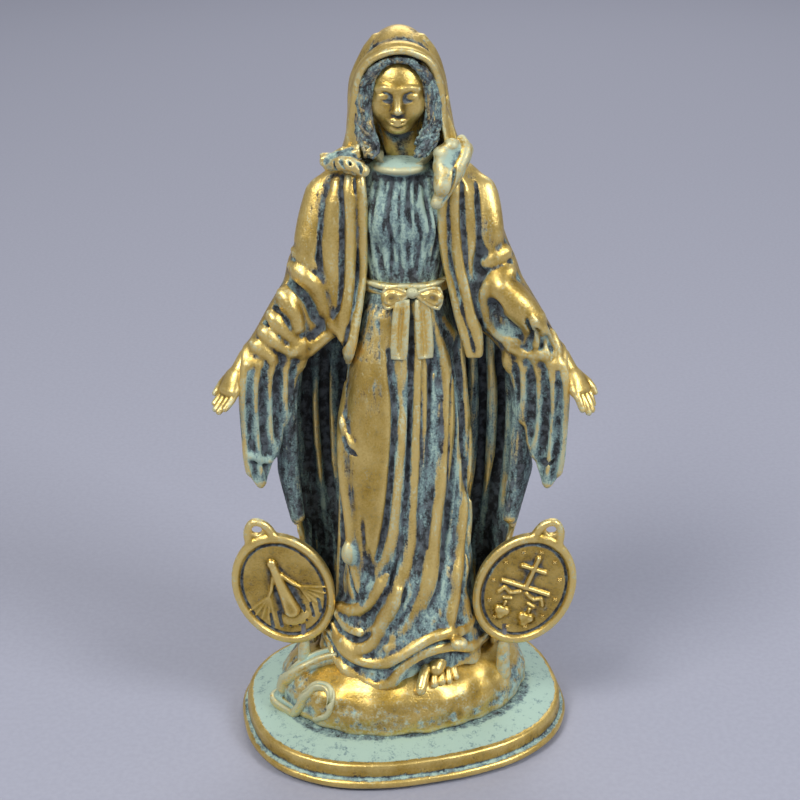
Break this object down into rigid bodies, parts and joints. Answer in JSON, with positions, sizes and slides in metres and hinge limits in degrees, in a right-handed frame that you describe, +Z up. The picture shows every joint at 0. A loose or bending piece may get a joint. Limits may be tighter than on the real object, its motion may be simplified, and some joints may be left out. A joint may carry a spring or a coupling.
{
  "type": "madonna statue",
  "caption": "Robed standing woman with a hooded veil and open hands on a mound over a serpent, between two oval medals on a moulded oval plinth; cast in hollow brass sections on a tie rod.",
  "frame": {"origin": "centre of the underside of the felt pad, below the tie rod", "axes": "+Z up the figure, -Y the way the figure faces, +X towards the viewer's right"},
  "size_m": [0.1276, 0.0992, 0.2494],
  "materials": {
    "antique_brass": "rubbed gold-coloured brass with verdigris in the recesses",
    "verdigris_brass": "pale green verdigris over brass, rubbed through on the edges",
    "dark_brass": "near-black patina over brass with streaks of verdigris",
    "green_felt": "dark green felt",
    "plain_steel": "plain steel"
  },
  "bodies": {
    "root": {"felt_pad": "green_felt", "plinth": "antique_brass", "mound": "antique_brass", "serpent": "verdigris_brass", "foot": "antique_brass", "robe_skirt": "antique_brass", "bodice": "dark_brass", "collar": "verdigris_brass", "sash_band": "verdigris_brass", "bow_knot": "verdigris_brass", "bow_loop_right": "antique_brass", "bow_loop_left": "antique_brass", "sash_tail_right": "antique_brass", "sash_tail_left": "antique_brass", "mantle": "dark_brass", "lapel_right": "antique_brass", "lapel_left": "antique_brass", "sleeve_right": "antique_brass", "sleeve_left": "antique_brass", "hand_right": "antique_brass", "hand_left": "antique_brass", "neck": "antique_brass", "head": "antique_brass", "hair_right": "dark_brass", "hair_left": "dark_brass", "veil": "antique_brass", "veil_end": "verdigris_brass", "medal_right": "antique_brass", "medal_left": "antique_brass", "veil_roll": "dark_brass", "medal_pins": "plain_steel", "shoulder_pegs": "plain_steel", "mantle_pins": "plain_steel", "tie_rod": "plain_steel", "washer": "plain_steel", "nut": "plain_steel"}
  },
  "joints": []
}
